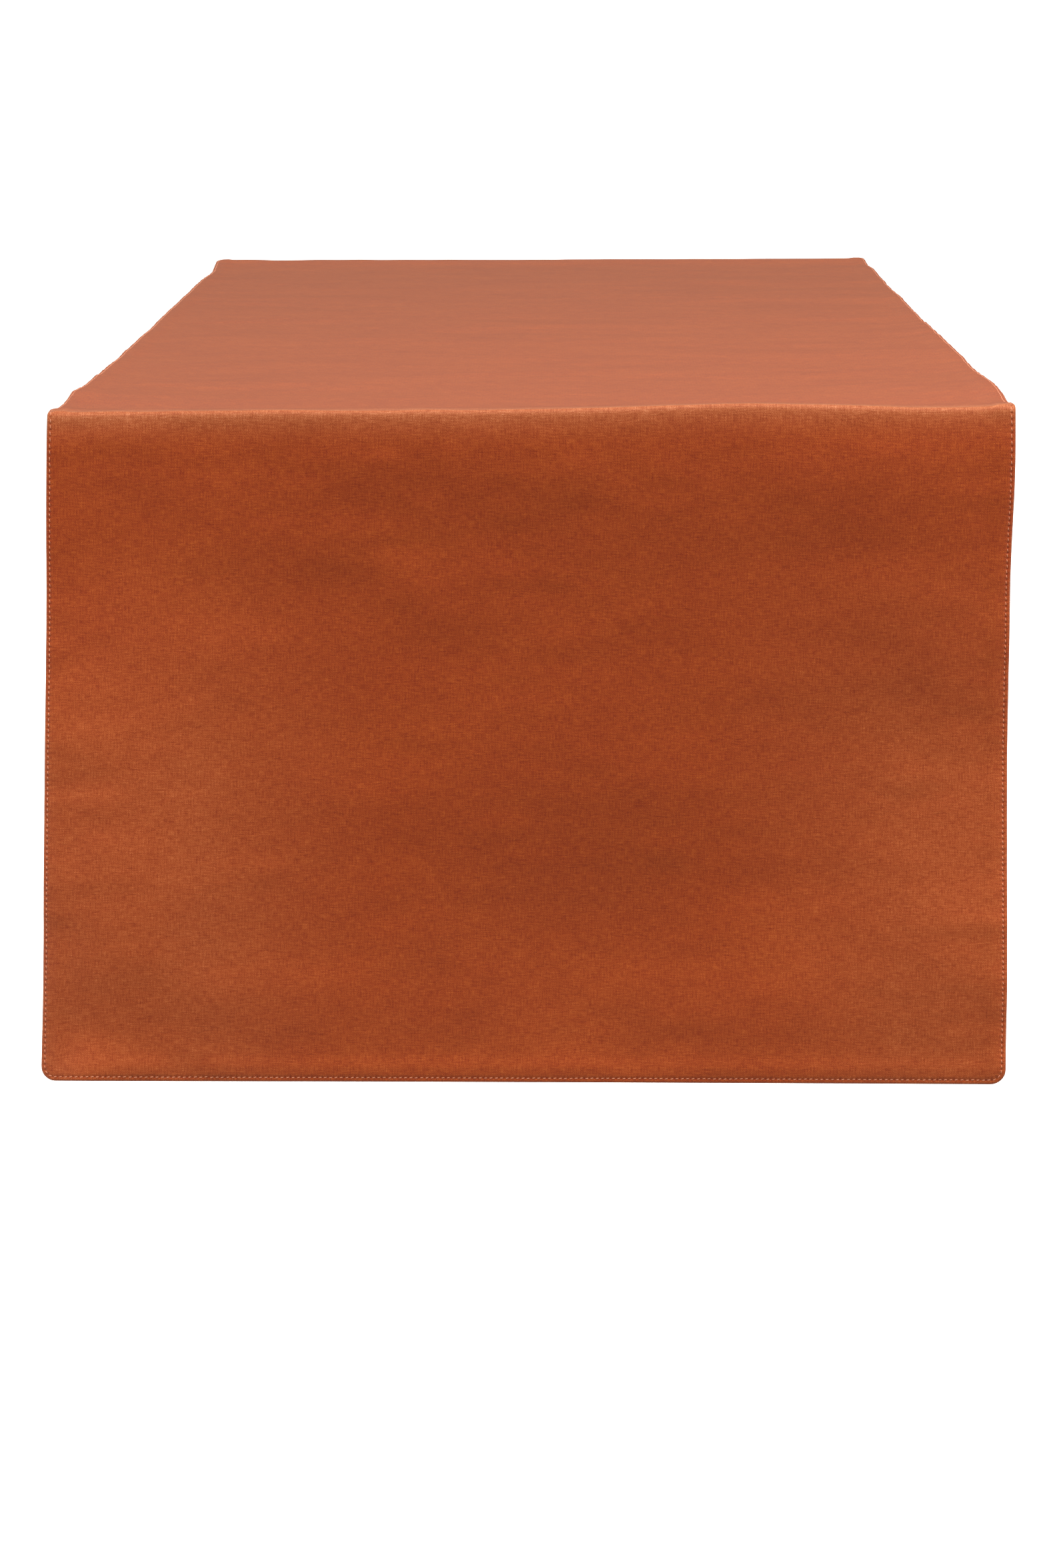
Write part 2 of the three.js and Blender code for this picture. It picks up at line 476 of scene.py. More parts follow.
def roll_edge(flat, directions, inset, height, settings):
    """Curls the strip outside the edge stitching back, with a curvature that is even across it.

    The strip's middle line bends by up to the roll, and its layers stay square to it. The
    roll is slight along the hems, strongest at the left side of the front end, and varies.
    """
    strip = STITCH_INSET + ROLL_MARGIN
    past = np.clip(strip - inset, 0, None)
    spot = hills(flat[..., 0], flat[..., 1], (70, 50), settings.seed + 11)
    lean = np.where(flat[..., 1] < FRONT_END, flat[..., 0] / HALF_WIDTH, 0.0)
    at_side = HEM_ROLL + (1 - HEM_ROLL) * np.abs(directions[..., 0])
    roll = settings.drape.edge_roll * at_side * (1 - ROLL_LEAN * lean + ROLL_SPOTS * spot)
    angle = roll * past / strip
    radius = strip / roll
    above = height - settings.cloth.middle_thickness * 0.75
    out = np.where(past > 0, (radius + above) * np.sin(angle) - past, 0.0)
    drop = np.where(past > 0, (radius + above) * (np.cos(angle) - 1), 0.0)
    return flat + directions * out[..., None], height + drop


# ---------------------------------------------------------------- the panels

# Each panel's section at its border: how far in from the edge, and how high above the
# underside, in millimetres. It runs outward over the stitched groove and the puffed edge,
# round the rim and back in along the turned-in allowance. The face rolls a little under.
FACE_SECTION = (
    (6.4, 1.55), (5.0, 1.54), (4.0, 1.51), (3.2, 1.42), (2.65, 1.26), (2.2, 1.14),
    (1.75, 1.26), (1.3, 1.41), (0.8, 1.42), (0.4, 1.26), (0.12, 1.02), (0.0, 0.76),
    (0.06, 0.52), (0.2, 0.42), (0.34, 0.58), (1.6, 0.76), (6.4, 0.80),
)
BACKING_SECTION = (
    (6.4, 0.0), (5.0, 0.01), (4.0, 0.03), (3.2, 0.10), (2.65, 0.22), (2.2, 0.30),
    (1.75, 0.22), (1.3, 0.11), (0.8, 0.12), (0.45, 0.24), (0.35, 0.40),
    (0.6, 0.55), (1.6, 0.66), (6.4, 0.70),
)
FACE_GROOVE, BACKING_GROOVE = 1.14 * MM, 0.30 * MM
CORNER_STEPS = 9

# Steps across the cloth, then along it: front end, bends, top run and back end.
PANEL_STEPS = {
    "face": (3.0 * MM, 2.8 * MM, 0.7 * MM, 5.6 * MM, 3.4 * MM),
    "backing": (4.2 * MM, 4.0 * MM, 1.6 * MM, 7.0 * MM, 4.0 * MM),
}
BEND_MARGINS = 8 * MM, 26 * MM  # the fine steps' reach before and past a bend's start
MIDDLE_EASE = 4 * MM  # width over which the border's height eases down to the middle's
PAST_BORDER, ON_ALLOWANCE = 24, -1  # stand for the inset on the grid and on the allowance
NEARBY = 0.5 * MM  # between the two levels that give a thread line its outward direction


def panel_grid(side, view):
    """Places across and along the cloth, closest together over the bends."""
    across_step, front, bend, top, back = PANEL_STEPS[side]
    end, start = view["half_length"] - BORDER, view["start"]
    before, past = start - BEND_MARGINS[0], start + BEND_MARGINS[1]
    u = steps_between((-HALF_WIDTH + BORDER, HALF_WIDTH - BORDER), (across_step,))
    v = steps_between((-end, -past, -before, before, past, end), (front, bend, top, bend, back))
    return u, v


def border_loops(u, v, radius, insets):
    """Closed loops round the grid's rim, each at its own inset from the runner's outline.

    A loop's point lies straight out from its own point on the rim. At each corner a fan of
    directions leaves one rim point, about the centre of the outline's rounding. Returns the
    rim points' numbers, the loops' places on the flat cloth and their outward directions.
    """
    grid = np.arange(len(u) * len(v)).reshape(len(v), len(u))
    flat = np.stack(np.meshgrid(u, v), axis=-1).reshape(-1, 2)
    sides = (grid[0, 1:-1], grid[1:-1, -1], grid[-1, -2:0:-1], grid[-2:0:-1, 0])
    corners = (grid[0, -1], grid[-1, -1], grid[-1, 0], grid[0, 0])
    rim, centres, directions, reaches = [], [], [], []
    for turn, (edge, corner) in enumerate(zip(sides, corners)):
        angle = np.linspace(turn - 1, turn, CORNER_STEPS) * math.pi / 2
        straight = np.full(len(edge), (turn - 1) * math.pi / 2)
        angles = np.concatenate([straight, angle])
        diagonal = np.sign(flat[corner]) * (BORDER - radius)
        rim.append(np.concatenate([edge, np.full(CORNER_STEPS, corner)]))
        at_corner = np.tile(flat[corner] + diagonal, (CORNER_STEPS, 1))
        centres.append(np.concatenate([flat[edge], at_corner]))
        directions.append(np.stack([np.cos(angles), np.sin(angles)], axis=-1))
        reaches.append(np.repeat([BORDER, radius], [len(edge), CORNER_STEPS]))
    centres, directions = np.concatenate(centres), np.concatenate(directions)
    away = np.concatenate(reaches)[None, :, None] - np.asarray(insets)[:, None, None]
    return np.concatenate(rim), centres + directions * away, directions


def loop_distance(loop):
    """Distance along a closed loop at each of its points, and once more at its end."""
    gaps = np.linalg.norm(np.roll(loop, -1, axis=0) - loop, axis=-1)
    return np.concatenate([[0], np.cumsum(gaps)])


def grid_heights(flat, view, rim, middle):
    """Heights inside the border: from the rim's level, a cubic ease down to the middle's."""
    inset = np.minimum(HALF_WIDTH - np.abs(flat[:, 0]), view["half_length"] - np.abs(flat[:, 1]))
    return rim + (middle - rim) * smooth_step(inset, BORDER, BORDER + MIDDLE_EASE)


def panel_faces(columns, rows, rim, loop_count):
    """The grid's faces, and those of the band from its rim over every loop of the border."""
    grid = np.arange(rows * columns).reshape(rows, columns)
    quads = np.stack([grid[:-1, :-1], grid[:-1, 1:], grid[1:, 1:], grid[1:, :-1]], axis=-1)
    rings = grid.size + np.arange(loop_count * len(rim)).reshape(loop_count, -1)
    rings = np.concatenate([rim[None], rings])
    after = np.roll(rings, -1, axis=1)
    band = np.stack([rings[:-1], rings[1:], after[1:], after[:-1]], axis=-1)
    return quads.reshape(-1, 4), band.reshape(-1, 4)


def band_map(loops, insets, pitch):
    """The band's "edge" map: stitches along the stitch line, and the inset in millimetres."""
    groove = loop_distance(loops[np.argmin(np.abs(insets - STITCH_INSET))])
    stitched = groove / groove[-1] * round(groove[-1] / pitch)
    along = np.stack([stitched[:-1], stitched[:-1], stitched[1:], stitched[1:]], axis=-1)
    along = np.tile(along, (len(insets), 1, 1)).reshape(-1, 4)
    depth = np.concatenate([[BORDER], insets])
    depth[np.argmin(depth) + 1:] = ON_ALLOWANCE * MM
    depth = np.stack([depth[:-1], depth[1:], depth[1:], depth[:-1]], axis=-1)
    depth = np.repeat(depth, loops.shape[1], axis=0)
    return np.stack([along, depth / MM], axis=-1)


def make_panel(side, name, material, settings):
    """Builds a panel: a plain grid inside, and its section carried round the border.

    The UV map "cloth" is the flat cloth in metres. "edge" holds the distance along the stitch
    line, counted in stitches, and the inset in millimetres, which is negative on the
    allowance and past the border's on the grid.
    """
    view = side_view(settings.drape)
    section = FACE_SECTION if side == "face" else BACKING_SECTION
    insets, levels = (np.array(column) * MM for column in zip(*section))
    middle = settings.cloth.middle_thickness if side == "face" else 0.0
    u, v = panel_grid(side, view)
    inner = np.stack(np.meshgrid(u, v), axis=-1).reshape(-1, 2)
    rim, loops, directions = border_loops(u, v, settings.cloth.corner_radius, insets)
    flat = np.concatenate([inner, loops.reshape(-1, 2)])
    rolled, loop_heights = roll_edge(
        loops, directions, insets[:, None], np.repeat(levels[:, None], len(rim), axis=1), settings
    )
    heights = np.concatenate([
        grid_heights(inner, view, levels[0], middle), loop_heights.ravel(),
    ])
    placed = np.concatenate([inner, rolled.reshape(-1, 2)])
    points = drape_points(placed[:, 0], placed[:, 1], heights, settings)

    quads, band = panel_faces(len(u), len(v), rim, len(insets))
    corners = np.concatenate([quads, band])
    edge_map = np.concatenate([
        np.tile([0.0, PAST_BORDER], (len(quads), 4, 1)),
        band_map(loops, insets, settings.stitch.pitch),
    ])
    if side == "backing":
        corners, edge_map = corners[:, ::-1], edge_map[:, ::-1]
    faces, kept = without_pinches(corners)
    maps = {"cloth": flat[corners][kept], "edge": edge_map[kept]}
    obj = make_object(name, points, faces, maps, material)
    return obj, (2 * HALF_WIDTH, 2 * view["half_length"])


def without_pinches(corners):
    """Turns four-cornered faces whose ends are one point into triangles.

    Returns the faces in runs of one kind, and which corners are kept.
    """
    pinched = corners[:, 0] == corners[:, 3]
    kept = np.ones(corners.shape, dtype=bool)
    kept[pinched, 3] = False
    runs = np.split(np.arange(len(corners)), np.flatnonzero(np.diff(pinched)) + 1)
    faces = [corners[run, :3] if pinched[run[0]] else corners[run] for run in runs]
    return faces, kept


def thread_line(side, inset, height, settings):
    """A closed line on a panel: its flat and draped points, outward directions and distances.

    It runs through the panel's own columns and rows, so it lies on the panel's surface.
    """
    u, v = panel_grid(side, side_view(settings.drape))
    _, loops, directions = border_loops(u, v, settings.cloth.corner_radius, [inset])
    flat = loops[0]

    def place(level):
        rolled, heights = roll_edge(flat, directions, inset, np.full(len(flat), level), settings)
        return drape_points(rolled[:, 0], rolled[:, 1], heights, settings)

    points = place(height)
    outward = unit(place(height + NEARBY) - points) * (1 if side == "face" else -1)
    return {"flat": flat, "points": points, "outward": outward, "distance": loop_distance(flat)}


# ---------------------------------------------------------------- stitches

STITCH_SECTIONS, STITCH_SIDES = 5, 6
ARCH, DIVE, TAPER = 0.22, 1.2, 0.75  # see make_stitches
AHEAD = 0.2 * MM  # the step that gives a stitch's direction

# How much the stitches vary: their places in pitches, the shares of their length and slant,
# and how far they stray sideways.
PLACE_SHIFT, LENGTH_RANGE, SLANT_RANGE, STRAY = 0.04, (0.93, 1.05), (0.6, 1.4), 0.05 * MM


def on_line(values, distance, places):
    """Values between a closed line's points, by the distance along it."""
    closed = np.concatenate([values, values[:1]])
    columns = [np.interp(places, distance, closed[:, k]) for k in range(values.shape[1])]
    return np.stack(columns, axis=-1)


def make_stitches(name, line, stitch, material, seed, thickness, slant=0.0, lift=None):
    """A row of separate stitches along a closed line.

    Each stitch is a round bar whose radius goes as the root of 1 - 0.75 x^2, with x from -1 to
    1 along it. Its centre arches above the cloth as 0.22 - 1.2 x^4 thicknesses, so that it
    dives in at both ends, and it slants across the line. lift(flat) raises it.
    """
    total = line["distance"][-1]
    count = round(total / stitch.pitch)
    draw = np.random.default_rng(seed)
    shifts = draw.uniform(-PLACE_SHIFT, PLACE_SHIFT, count)
    middle = (np.arange(count) + 0.5 + shifts) * total / count
    x = np.linspace(-1, 1, STITCH_SECTIONS)
    length = stitch.length * draw.uniform(*LENGTH_RANGE, (count, 1))
    places = (middle[:, None] + x / 2 * length) % total

    centre = on_line(line["points"], line["distance"], places)
    outward = unit(on_line(line["outward"], line["distance"], places))
    ahead = on_line(line["points"], line["distance"], (places + AHEAD) % total) - centre
    sideways = unit(np.cross(outward, unit(ahead)))
    radius = thickness / 2 * np.sqrt(1 - TAPER * x**2)
    rise = np.tile(thickness * (ARCH - DIVE * x**4), (count, 1))
    if lift:
        rise = rise + lift(on_line(line["flat"], line["distance"], middle % total))[:, None]
    aside = slant * draw.uniform(*SLANT_RANGE, (count, 1)) * x / 2
    aside = aside + draw.normal(0, STRAY, (count, 1))
    centre = centre + outward * rise[..., None] + sideways * aside[..., None]
    angle = np.arange(STITCH_SIDES) * 2 * math.pi / STITCH_SIDES
    ring = np.cos(angle)[:, None] * outward[:, :, None]
    ring = ring - np.sin(angle)[:, None] * sideways[:, :, None]
    points = centre[:, :, None] + ring * radius[None, :, None, None]

    ids = np.arange(points[..., 0].size).reshape(count, STITCH_SECTIONS, STITCH_SIDES)
    turned = np.roll(ids, -1, axis=2)
    bars = np.stack([ids[:, :-1], turned[:, :-1], turned[:, 1:], ids[:, 1:]], axis=-1)
    bars = bars.reshape(-1, 4)
    first, last = ids[:, 0, ::-1], ids[:, -1]
    lengthways = np.broadcast_to((x[None, :, None] + 1) / 2, ids.shape)
    around = np.broadcast_to(np.arange(STITCH_SIDES) / STITCH_SIDES, ids.shape)
    pairs = np.stack([lengthways, around], axis=-1).reshape(-1, 2)
    bar_pairs = pairs[bars]
    bar_pairs[:, 1:3, 1] = bar_pairs[:, [0, 3], 1] + 1 / STITCH_SIDES
    pairs = [bar_pairs.reshape(-1, 2), pairs[first.ravel()], pairs[last.ravel()]]
    maps = {"thread": np.concatenate(pairs)}
    return make_object(name, points, [bars, first, last], maps, material)


# ---------------------------------------------------------------- the care label

LAYER_STEPS, FOLD_STEPS, LABEL_ROWS = 20, 9, 13
SEWN_GAP, LAYER_GAP = 0.04 * MM, 0.1 * MM  # ribbon to backing, and layer to layer, where sewn
CURL = 1.1 * MM  # how far the fold stands off the backing
WAVE_HEIGHT, WAVE_TURN = 0.25 * MM, 5.2  # of the sine across the ribbon's width
WAVE_INSETS = 8 * MM, 36 * MM  # between these the wave grows to its full height


def label_span(view):
    """Where the label lies along the flat cloth, from its solid's heights above the hem."""
    return view["half_length"] - (label_high.z + DROP), view["half_length"] - (label_low.z + DROP)


def label_stack(label):
    """Thickness of the label's two layers where the edge stitching holds them."""
    return 2 * label.ribbon_thickness + LAYER_GAP


def label_path(label):
    """The folded ribbon's middle line, as insets and heights: in along the backing and back.

    Both layers stand off the backing by the square of the distance from the stitching, and
    a half circle joins them at the fold.
    """
    ends = HALF_WIDTH - label_high.x
    length = label_high.x - label_low.x
    t = np.linspace(0, 1, LAYER_STEPS)
    near = -(SEWN_GAP + label.ribbon_thickness / 2)
    far = near - label_stack(label) / 2
    curl = CURL * t**2
    upper = np.stack([ends + length * t, near - curl], axis=-1)
    lower = np.stack([ends + length * t, far - curl - label.fold_gap * t**2], axis=-1)
    angle = np.linspace(math.pi / 2, -math.pi / 2, FOLD_STEPS)[1:-1]
    middle, reach = (upper[-1] + lower[-1]) / 2, (upper[-1, 1] - lower[-1, 1]) / 2
    fold = middle + reach * np.stack([np.cos(angle), np.sin(angle)], axis=-1)
    return np.concatenate([upper, fold, lower[::-1]])


def make_label(name, material, settings):
    """The folded ribbon: its middle line thickened both ways and carried across its width."""
    label, view = settings.label, side_view(settings.drape)
    path = label_path(label)
    along = np.gradient(path, axis=0)
    normal = unit(np.stack([along[:, 1], -along[:, 0]], axis=-1))
    half = normal * label.ribbon_thickness / 2
    loop = np.concatenate([path + half, (path - half)[::-1]])
    low, high = label_span(view)
    width = np.linspace(low, high, LABEL_ROWS)
    count, rows = len(loop), len(width)
    wave = WAVE_HEIGHT * np.sin((width - low) / (high - low) * WAVE_TURN)[:, None]
    free = smooth_step(loop[:, 0], *WAVE_INSETS)
    flat = np.stack(np.meshgrid(HALF_WIDTH - loop[:, 0], width), axis=-1)
    heights = loop[:, 1] - np.abs(wave) * free
    rolled, heights = roll_edge(flat, np.array([1, 0]), loop[:, 0], heights, settings)
    points = drape_points(rolled[..., 0], rolled[..., 1], heights, settings)

    ids = np.arange(rows * count).reshape(rows, count)
    turned = np.roll(ids, -1, axis=1)
    sides = np.stack([ids[:-1], turned[:-1], turned[1:], ids[1:]], axis=-1).reshape(-1, 4)
    half_count = count // 2
    near, far = np.arange(half_count), count - 1 - np.arange(half_count)
    cap = np.stack([near[:-1], far[:-1], far[1:], near[1:]], axis=-1)
    faces = np.concatenate([sides, ids[0][cap], ids[-1][cap][:, ::-1]])
    distance = np.concatenate([[0], np.cumsum(np.linalg.norm(np.diff(path, axis=0), axis=-1))])
    lengthways = np.concatenate([distance, distance[::-1]])
    pairs = np.stack(np.meshgrid(lengthways, width), axis=-1).reshape(-1, 2)
    obj = make_object(name, points, [faces], {"ribbon": pairs[faces].reshape(-1, 2)}, material)
    return obj, (high - low, distance[-1])


# ---------------------------------------------------------------- materials

# Nearly all of a noise lies between these two values.
NOISE_LOW, NOISE_HIGH = 0.25, 0.75


def add_node(tree, kind, inputs=None, **settings):
    """Adds a node. An input given as a socket is linked, and any other value is set."""
    node = tree.nodes.new(kind)
    for key, value in settings.items():
        setattr(node, key, value)
    for key, value in (inputs or {}).items():
        if isinstance(value, bpy.types.NodeSocket):
            tree.links.new(value, node.inputs[key])
        else:
            node.inputs[key].default_value = value
    return node


def math_node(tree, operation, *values):
    inputs = dict(enumerate(values))
    return add_node(tree, "ShaderNodeMath", inputs, operation=operation).outputs[0]


def product(tree, first, *others):
    for value in others:
        first = math_node(tree, "MULTIPLY", first, value)
    return first


def distance_from(tree, value, middle):
    return math_node(tree, "ABSOLUTE", math_node(tree, "SUBTRACT", value, middle))


def vector_math(tree, operation, inputs):
    return add_node(tree, "ShaderNodeVectorMath", inputs, operation=operation).outputs[0]


def split(tree, vector):
    return add_node(tree, "ShaderNodeSeparateXYZ", {"Vector": vector}).outputs


def surface_map(tree, name):
    """The place on the surface that a UV map gives."""
    return add_node(tree, "ShaderNodeUVMap", uv_map=name).outputs[0]


def object_place(tree):
    return add_node(tree, "ShaderNodeTexCoord").outputs["Object"]


def noise_node(tree, vector, sizes, detail, roughness=0.5):
    scale = [1 / size for size in sizes]
    placed = add_node(tree, "ShaderNodeMapping", {"Vector": vector, "Scale": scale})
    return add_node(tree, "ShaderNodeTexNoise", {
        "Vector": placed.outputs[0], "Scale": 1.0, "Detail": detail, "Roughness": roughness,
    })


def noise(tree, vector, size, detail=2.0, roughness=0.5):
    """Noise from 0 to 1. Its features are size millimetres across, or a size for each axis."""
    sizes = [part * MM for part in size] + [1] if isinstance(size, tuple) else [size * MM] * 3
    return noise_node(tree, vector, sizes, detail, roughness).outputs["Fac"]


def strayed(tree, vector, size, reach):
    """The same place, moved about by a noise of the given size, by up to half of reach."""
    colour = noise_node(tree, vector, [size * MM] * 3, 1.0).outputs["Color"]
    centred = vector_math(tree, "SUBTRACT", {0: colour, 1: (0.5, 0.5, 0.5)})
    offset = vector_math(tree, "SCALE", {0: centred, "Scale": reach * MM})
    return vector_math(tree, "ADD", {0: vector, 1: offset})


def spread(tree, value, low, high, to_low=0.0, to_high=1.0):
    """Carries a value from one range to another, and clamps it."""
    node = add_node(tree, "ShaderNodeMapRange", {
        "Value": value, "From Min": low, "From Max": high, "To Min": to_low, "To Max": to_high,
    })
    return node.outputs["Result"]


def falling(tree, value, low, high):
    """1 up to low, and 0 from high on."""
    return spread(tree, value, low, high, 1.0, 0.0)


def new_material(name, constants):
    """A material with one shader. The constants are even over the whole surface."""
    material = bpy.data.materials.new(name)
    material.use_nodes = True
    tree = material.node_tree
    tree.nodes.clear()
    output = add_node(tree, "ShaderNodeOutputMaterial")
    shader = add_node(tree, "ShaderNodeBsdfPrincipled", constants)
    tree.links.new(shader.outputs[0], output.inputs["Surface"])
    return material, tree, shader


def finish_surface(tree, shader, colour, roughness, heights):
    """Links the colour and roughness, and a bump that sums heights: values and millimetres."""
    tree.links.new(colour, shader.inputs["Base Color"])
    tree.links.new(roughness, shader.inputs["Roughness"])
    total = 0.0
    for value, size in heights:
        total = math_node(tree, "MULTIPLY_ADD", value, size * MM, total)
    bump = add_node(tree, "ShaderNodeBump", {"Height": total, "Strength": 1.0, "Distance": 1.0})
    tree.links.new(bump.outputs[0], shader.inputs["Normal"])


def sine_wave(tree, value, turn):
    """A sine that comes round once in each turn of the value."""
    return math_node(tree, "SINE", math_node(tree, "MULTIPLY", value, 2 * math.pi / turn))


def plain_weave(tree, cloth, pitch):
    """Two sine waves multiplied, so that high and low crossings of the yarns alternate."""
    parts = split(tree, strayed(tree, cloth, 1.6, 0.5))
    return product(tree, *(sine_wave(tree, parts[k], 2 * pitch) for k in (0, 1)))


def crinkle_marks(tree, cloth):
    """Short thin creases in patches, and the soft rumpled ground between them.

    A crease runs where a noise passes its middle.
    """
    field = noise(tree, strayed(tree, cloth, 9, 6), (8, 3.4), 1.0)
    patches = spread(tree, noise(tree, cloth, (11, 7), 1.0), 0.50, 0.62)
    creases = product(tree, falling(tree, distance_from(tree, field, 0.5), 0.0, 0.03), patches)
    return creases, noise(tree, cloth, (5.5, 4.6), 3.0, 0.6)


def edge_marks(tree):
    """The needle holes between stitches, darkened as painted shade, the stitching's pucker, and
    the rim at the very edge, which takes a painted highlight.
    """
    count, inset, _ = split(tree, surface_map(tree, "edge"))
    from_hole = math_node(tree, "PINGPONG", count, 0.5)
    beside = distance_from(tree, inset, STITCH_INSET / MM)
    # Needle holes: pressed in by the bump, and painted darker as painted shade.
    hole = product(
        tree, falling(tree, from_hole, 0.06, 0.2), falling(tree, beside, 0.25, 0.65)
    )
    pucker = product(tree, spread(tree, from_hole, 0.0, 0.5), falling(tree, beside, 0.3, 2.2))
    # The outermost 0.75 mm up to the edge, which is painted paler as a painted highlight.
    rim = product(tree, falling(tree, inset, 0.1, 0.75), spread(tree, inset, -0.5, 0.0))
    return hole, pucker, rim


def dark_specks(tree, cloth):
    """A dark neb of yarn in the middle of about half the cells of a 16 mm Voronoi pattern."""
    cells = add_node(tree, "ShaderNodeTexVoronoi", {"Vector": cloth, "Scale": 1 / (16 * MM)})
    draw = add_node(tree, "ShaderNodeSeparateColor", {"Color": cells.outputs["Color"]}).outputs[0]
    near = falling(tree, cells.outputs["Distance"], 0.018, 0.03)
    return product(tree, near, math_node(tree, "GREATER_THAN", draw, 0.45))


def painted_light_places(tree, cloth, settings):
    """Two marks of painted light: paler ends, and a painted highlight along each bend.

    The low corners of each hanging end are painted paler, and its hem to 0.4 of that. A
    painted highlight lies along the bend, as the square of a ramp that is 1 on the bend and 0
    at 15 mm.
    """
    turned = add_node(tree, "ShaderNodeMapping", {
        "Vector": cloth, "Rotation": (0, 0, -settings.drape.askew),
    })
    parts = split(tree, turned.outputs[0])
    across, along = (math_node(tree, "ABSOLUTE", parts[k]) for k in (0, 1))
    start = side_view(settings.drape)["start"]
    # Painted light: the low outer corners of each hanging end are painted paler.
    corners = product(
        tree, spread(tree, across, 75 * MM, 165 * MM),
        spread(tree, along, start + 50 * MM, start + 170 * MM),
    )
    # Painted light: the hem is painted paler, to 0.4 of the corners.
    hem = spread(tree, along, start + 200 * MM, start + 310 * MM, 0, 0.4)
    # A painted highlight along the bend, 1 on it and 0 at 15 mm.
    near = falling(tree, distance_from(tree, along, start + 1 * MM), 0, 15 * MM)
    return math_node(tree, "MAXIMUM", corners, hem), product(tree, near, near)


def painted_light_colour(tree, colour, rim, painted_pale_ends, bend):
    """The dye's colour, mixed toward a greyer, paler one as painted light.

    That is a painted highlight on the rim and along the bend, and paler low ends.
    """
    painted_light_part = math_node(tree, "MAXIMUM", product(tree, rim, 0.9), bend)
    painted_light_part = math_node(tree, "MAXIMUM", painted_light_part, product(tree, painted_pale_ends, 0.33))
    red, green, blue = colour
    colours = {0: painted_light_part, 6: (red, green, blue, 1), 7: (red, green + 0.024, blue + 0.012, 1)}
    return add_node(tree, "ShaderNodeMix", colours, data_type="RGBA").outputs[2]


def dusty_tone(tree, colour, tone):
    """The colour times the tone, its square and its power 3.4: pale yarns are also greyer."""
    parts = add_node(tree, "ShaderNodeSeparateColor", {"Color": colour}).outputs
    channels = {
        name: product(tree, parts[name], math_node(tree, "POWER", tone, power))
        for name, power in (("Red", 1.0), ("Green", 2.0), ("Blue", 3.4))
    }
    return add_node(tree, "ShaderNodeCombineColor", channels).outputs[0]


def washed_linen(name, colour, settings):
    """Washed plain-weave linen: uneven yarns, slubs, nebs, crinkles and a matt, fuzzy sheen, with
    painted shade in its creases and needle holes, and painted light on its rim, bends and ends.

    Every term of its tone is about one, and they multiply into the colour.
    """
    material, tree, shader = new_material(name, {
        "Specular IOR Level": 0.12, "Sheen Weight": 0.56, "Sheen Roughness": 0.45,
        "Sheen Tint": (1.0, 0.88, 0.66, 1),
    })
    cloth = surface_map(tree, "cloth")
    weave = plain_weave(tree, cloth, settings.cloth.yarn_pitch)
    reed = sine_wave(tree, split(tree, cloth)[0], 1.5 * MM)
    warp_yarns = noise(tree, cloth, (0.38, 4.5), 1.0)
    weft_yarns = noise(tree, cloth, (4.2, 0.38), 1.0)
    slubs = noise(tree, cloth, (7, 0.7), 1.0)
    grain = noise(tree, cloth, 0.42, 1.0, 0.6)
    mottle = noise(tree, cloth, (1.9, 1.6), 3.0, 0.7)
    clouds = noise(tree, cloth, (10, 8), 2.0, 0.55)
    wash = noise(tree, cloth, (60, 45), 2.0)
    creases, rumple = crinkle_marks(tree, cloth)
    hole, pucker, rim = edge_marks(tree)
    painted_pale_ends, bend = painted_light_places(tree, cloth, settings)

    noises = (
        (warp_yarns, 0.17), (weft_yarns, 0.17), (slubs, 0.08), (grain, 0.24), (mottle, 0.08),
        (clouds, 0.05), (wash, 0.05),
    )
    # Marks on the tone: needle holes and creases darker as painted shade, nebs of dark yarn, the
    # low ends paler as painted light, and a painted highlight along the bend.
    marks = (
        (hole, 0.75), (creases, 0.90), (dark_specks(tree, cloth), 0.75), (painted_pale_ends, 1.05),
        (bend, 1.10),
    )
    terms = [
        spread(tree, value, NOISE_LOW, NOISE_HIGH, 1 - reach, 1 + reach)
        for value, reach in noises
    ]
    terms += [
        spread(tree, value, -1, 1, 1 - reach, 1 + reach)
        for value, reach in ((weave, 0.08), (reed, 0.025))
    ]
    terms += [spread(tree, value, 0, 1, 1, tone_there) for value, tone_there in marks]
    # The rim, the low ends and the bend are painted paler and greyer as painted light.
    base = dusty_tone(tree, painted_light_colour(tree, colour, rim, painted_pale_ends, bend), product(tree, *terms))
    finish_surface(tree, shader, base, spread(tree, grain, 0.2, 0.8, 0.58, 0.72), (
        (weave, 0.012), (warp_yarns, 0.02), (weft_yarns, 0.02), (slubs, 0.02), (grain, 0.025),
        (rumple, 0.15), (creases, -0.03), (pucker, 0.12), (hole, -0.10),
    ))
    return material


def toned_colour(tree, colour, *tones):
    """A colour times every tone."""
    return vector_math(tree, "SCALE", {0: tuple(colour), "Scale": product(tree, *tones)})


def spun_thread(name, colour):
    """Spun sewing thread: a two-ply twist, a soft shine and slight fuzz."""
    material, tree, shader = new_material(
        name, {"Specular IOR Level": 0.3, "Sheen Weight": 0.12, "Sheen Roughness": 0.35}
    )
    lengthways, around, _ = split(tree, surface_map(tree, "thread"))
    ply = sine_wave(tree, math_node(tree, "MULTIPLY_ADD", lengthways, 3.0, around), 1)
    lot = noise(tree, object_place(tree), 4, 2.0)
    fuzz = noise(tree, object_place(tree), 0.12, 2.0)
    base = toned_colour(
        tree, colour, spread(tree, ply, -1, 1, 0.80, 1.12), spread(tree, lot, 0.3, 0.7, 0.9, 1.1)
    )
    roughness = spread(tree, fuzz, 0.2, 0.8, 0.42, 0.62)
    finish_surface(tree, shader, base, roughness, ((ply, 0.02), (fuzz, 0.02)))
    return material


